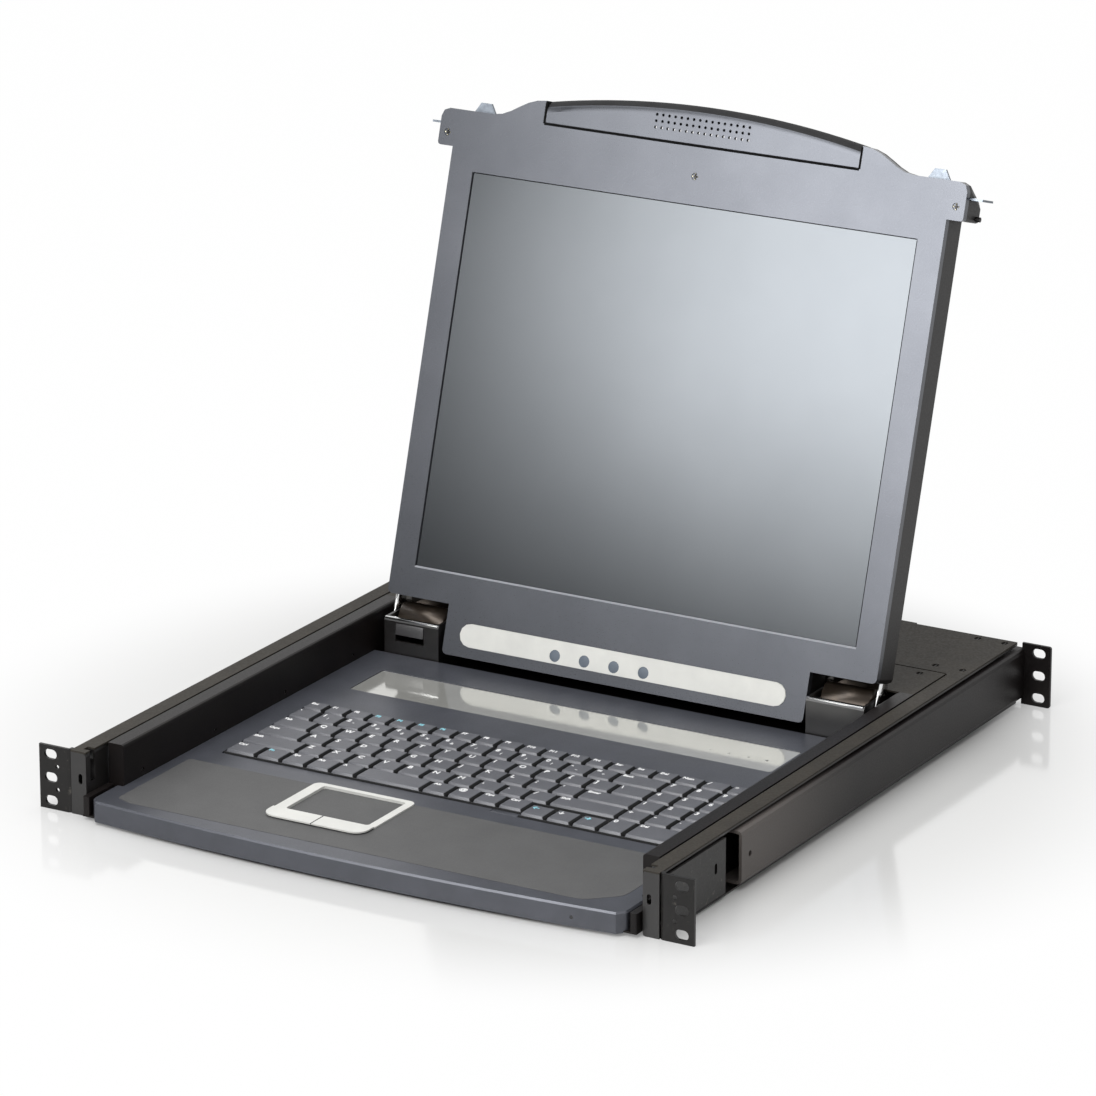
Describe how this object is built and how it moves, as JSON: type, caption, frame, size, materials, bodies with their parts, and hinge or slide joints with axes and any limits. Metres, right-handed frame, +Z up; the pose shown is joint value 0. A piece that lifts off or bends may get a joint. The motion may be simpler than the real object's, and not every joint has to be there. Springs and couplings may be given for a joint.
{
  "type": "rackmount lcd console drawer",
  "caption": "One-unit rack console drawer: keyboard, touchpad and a fold-up screen in a drawer on telescopic slides, with latches, rack ears and adjustable rear rails.",
  "frame": {"origin": "centre of the front rack hole pattern, in the front face of the rack ears, at half the unit's height", "axes": "+X to the right of a person at the keyboard, +Y into the rack, +Z up"},
  "size_m": [0.4826, 0.519, 0.3963],
  "materials": {
    "chassis_black": "satin powder coat",
    "ear_black": "satin powder coat",
    "slide_steel": "zinc plated",
    "drawer_black": "satin powder coat",
    "screw_steel": "black zinc",
    "board_green": "solder mask",
    "supply_metal": "plain",
    "connector_black": "moulded",
    "connector_metal": "nickel plated",
    "bezel_slate": "fine metallic grain",
    "lid_slate": "fine metallic grain",
    "film_grey": "matt film",
    "key_grey": "fine grain",
    "strip_gloss": "gloss",
    "pad_silver": "satin",
    "pad_grey": "matt",
    "shell_black": "satin",
    "screen_grey": "matt anti-glare",
    "osd_silver": "satin",
    "osd_button": "satin",
    "handle_slate": "fine grain",
    "latch_steel": "bright",
    "hinge_steel": "polished edge",
    "led_lens": "clear"
  },
  "bodies": {
    "chassis": {"chassis_base": "chassis_black", "side_channel_left": "chassis_black", "side_channel_right": "chassis_black", "top_cover": "chassis_black", "front_bracket_left": "ear_black", "front_bracket_right": "ear_black", "slide_outer_left": "slide_steel", "slide_outer_right": "slide_steel", "chassis_screws": "screw_steel", "control_board": "board_green", "power_supply": "supply_metal", "power_inlet": "connector_black", "rear_ports": "connector_metal"},
    "rear_rail_left": {"rear_rail_left": "ear_black"},
    "rear_rail_right": {"rear_rail_right": "ear_black"},
    "power_rocker": {"power_rocker": "connector_black"},
    "slides_middle": {"slide_middle_left": "slide_steel", "slide_middle_right": "slide_steel"},
    "drawer": {"slide_inner_left": "slide_steel", "slide_inner_right": "slide_steel", "drawer_tray": "drawer_black", "drawer_wall_left": "drawer_black", "drawer_wall_right": "drawer_black", "drawer_rear_cover": "drawer_black", "drawer_screws": "screw_steel", "keyboard_bezel": "bezel_slate", "power_led": "led_lens", "palm_film": "film_grey", "status_strip": "strip_gloss", "touchpad_frame": "pad_silver", "touchpad_surface": "pad_grey", "keyboard_base": "connector_black", "keys_row_function": "key_grey", "keys_row_numbers": "key_grey", "keys_row_upper": "key_grey", "keys_row_home": "key_grey", "keys_row_lower": "key_grey", "keys_row_space": "key_grey", "hinge_pedestal_left": "drawer_black", "hinge_pedestal_right": "drawer_black", "hinge_pins": "hinge_steel"},
    "space_bar": {"space_bar": "key_grey"},
    "enter_key": {"enter_key": "key_grey"},
    "touchpad_button_left": {"touchpad_button_left": "pad_silver"},
    "touchpad_button_right": {"touchpad_button_right": "pad_silver"},
    "release_tab": {"release_tab": "osd_button"},
    "lid": {"lcd_shell": "shell_black", "lcd_bezel": "lid_slate", "lid_screws": "screw_steel", "lcd_screen": "screen_grey", "osd_strip": "osd_silver", "lcd_control_board": "board_green", "lid_handle": "handle_slate", "hinge_arms": "hinge_steel"},
    "osd_button_1": {"osd_button_1": "osd_button"},
    "osd_button_2": {"osd_button_2": "osd_button"},
    "osd_button_3": {"osd_button_3": "osd_button"},
    "osd_button_4": {"osd_button_4": "osd_button"},
    "latch_left": {"latch_left": "latch_steel"},
    "latch_right": {"latch_right": "latch_steel"}
  },
  "joints": [
    {"name": "drawer_slide", "type": "slide", "parent": "chassis", "child": "drawer", "axis": [0, -1, 0], "range_m": [0, 0.39]},
    {"name": "slides_middle", "type": "slide", "parent": "chassis", "child": "slides_middle", "axis": [0, -1, 0], "range_m": [0, 0.195]},
    {"name": "lid_hinge", "type": "hinge", "parent": "drawer", "child": "lid", "pos_m": [0, 0.3502, 0.0112], "axis": [1, 0, 0], "range_deg": [-5, 106.8]},
    {"name": "rear_rail_left_slide", "type": "slide", "parent": "chassis", "child": "rear_rail_left", "axis": [0, 1, 0], "range_m": [-0.012, 0.26]},
    {"name": "rear_rail_right_slide", "type": "slide", "parent": "chassis", "child": "rear_rail_right", "axis": [0, 1, 0], "range_m": [-0.012, 0.26]},
    {"name": "power_switch", "type": "hinge", "parent": "chassis", "child": "power_rocker", "pos_m": [0.118, 0.491, 0], "axis": [1, 0, 0], "range_deg": [0, 12]},
    {"name": "space_bar_press", "type": "slide", "parent": "drawer", "child": "space_bar", "axis": [0, 0, -1], "range_m": [0, 0.002], "stiffness_N_per_m": 300, "springref_m": -0.002},
    {"name": "enter_key_press", "type": "slide", "parent": "drawer", "child": "enter_key", "axis": [0, 0, -1], "range_m": [0, 0.002], "stiffness_N_per_m": 300, "springref_m": -0.002},
    {"name": "touchpad_button_left_press", "type": "slide", "parent": "drawer", "child": "touchpad_button_left", "axis": [0, 0, -1], "range_m": [0, 0.0006], "stiffness_N_per_m": 1000, "springref_m": -0.0008},
    {"name": "touchpad_button_right_press", "type": "slide", "parent": "drawer", "child": "touchpad_button_right", "axis": [0, 0, -1], "range_m": [0, 0.0006], "stiffness_N_per_m": 1000, "springref_m": -0.0008},
    {"name": "release_tab_press", "type": "slide", "parent": "drawer", "child": "release_tab", "axis": [0, 0, -1], "range_m": [0, 0.003], "stiffness_N_per_m": 200, "springref_m": -0.003},
    {"name": "osd_button_1_press", "type": "slide", "parent": "lid", "child": "osd_button_1", "axis": [0, 0.9572, -0.2895], "range_m": [0, 0.0008], "stiffness_N_per_m": 800, "springref_m": -0.001},
    {"name": "osd_button_2_press", "type": "slide", "parent": "lid", "child": "osd_button_2", "axis": [0, 0.9572, -0.2895], "range_m": [0, 0.0008], "stiffness_N_per_m": 800, "springref_m": -0.001},
    {"name": "osd_button_3_press", "type": "slide", "parent": "lid", "child": "osd_button_3", "axis": [0, 0.9572, -0.2895], "range_m": [0, 0.0008], "stiffness_N_per_m": 800, "springref_m": -0.001},
    {"name": "osd_button_4_press", "type": "slide", "parent": "lid", "child": "osd_button_4", "axis": [0, 0.9572, -0.2895], "range_m": [0, 0.0008], "stiffness_N_per_m": 800, "springref_m": -0.001},
    {"name": "latch_left_slide", "type": "slide", "parent": "lid", "child": "latch_left", "axis": [1, 0, 0], "range_m": [0, 0.0085], "stiffness_N_per_m": 150, "springref_m": -0.004},
    {"name": "latch_right_slide", "type": "slide", "parent": "lid", "child": "latch_right", "axis": [-1, 0, 0], "range_m": [0, 0.0085], "stiffness_N_per_m": 150, "springref_m": -0.004}
  ],
  "couplings": [
    {"joint": "slides_middle", "follows": "drawer_slide", "ratio": 0.5}
  ]
}
